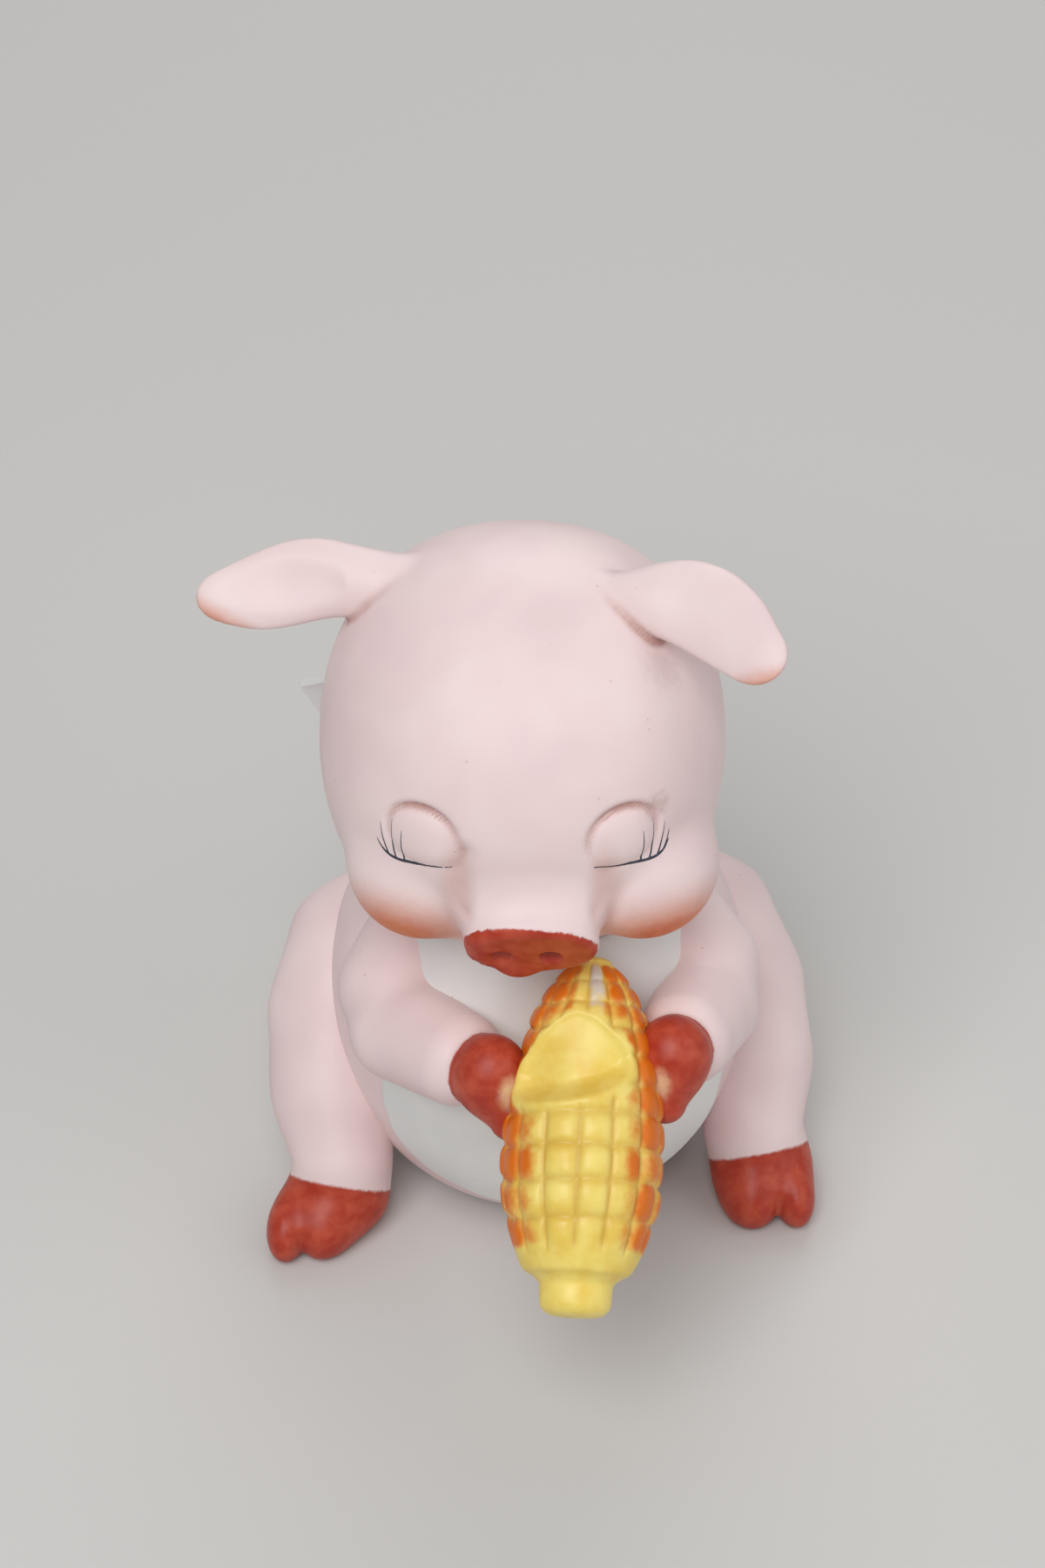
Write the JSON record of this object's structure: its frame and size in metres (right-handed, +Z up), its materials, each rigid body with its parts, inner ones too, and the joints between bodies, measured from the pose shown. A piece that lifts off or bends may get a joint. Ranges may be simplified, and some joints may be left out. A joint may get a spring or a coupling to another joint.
{
  "type": "pig figurine",
  "caption": "Seated bisque porcelain pig with closed eyes, holding a bitten corn cob in both front hooves, with a napkin tied round its neck.",
  "frame": {"origin": "centre of the flat seat under the body, on the surface that the figurine stands on", "axes": "+Z up; the pig's face and corn point to -Y; +X is the pig's own left side"},
  "size_m": [0.0723, 0.0828, 0.0945],
  "materials": {
    "pink_bisque": "unglazed pale pink bisque, airbrushed blush, red painted hooves and nose",
    "corn_yellow": "unglazed yellow bisque with orange shading between the kernels",
    "white_bisque": "unglazed white bisque"
  },
  "bodies": {
    "root": {"body": "pink_bisque", "head": "pink_bisque", "ear_left": "pink_bisque", "ear_right": "pink_bisque", "arm_left": "pink_bisque", "arm_right": "pink_bisque", "leg_left": "pink_bisque", "leg_right": "pink_bisque", "tail": "pink_bisque", "corn_cob": "corn_yellow", "napkin_bib": "white_bisque", "napkin_knot": "white_bisque", "napkin_end_left": "white_bisque", "napkin_end_right": "white_bisque"}
  },
  "joints": []
}
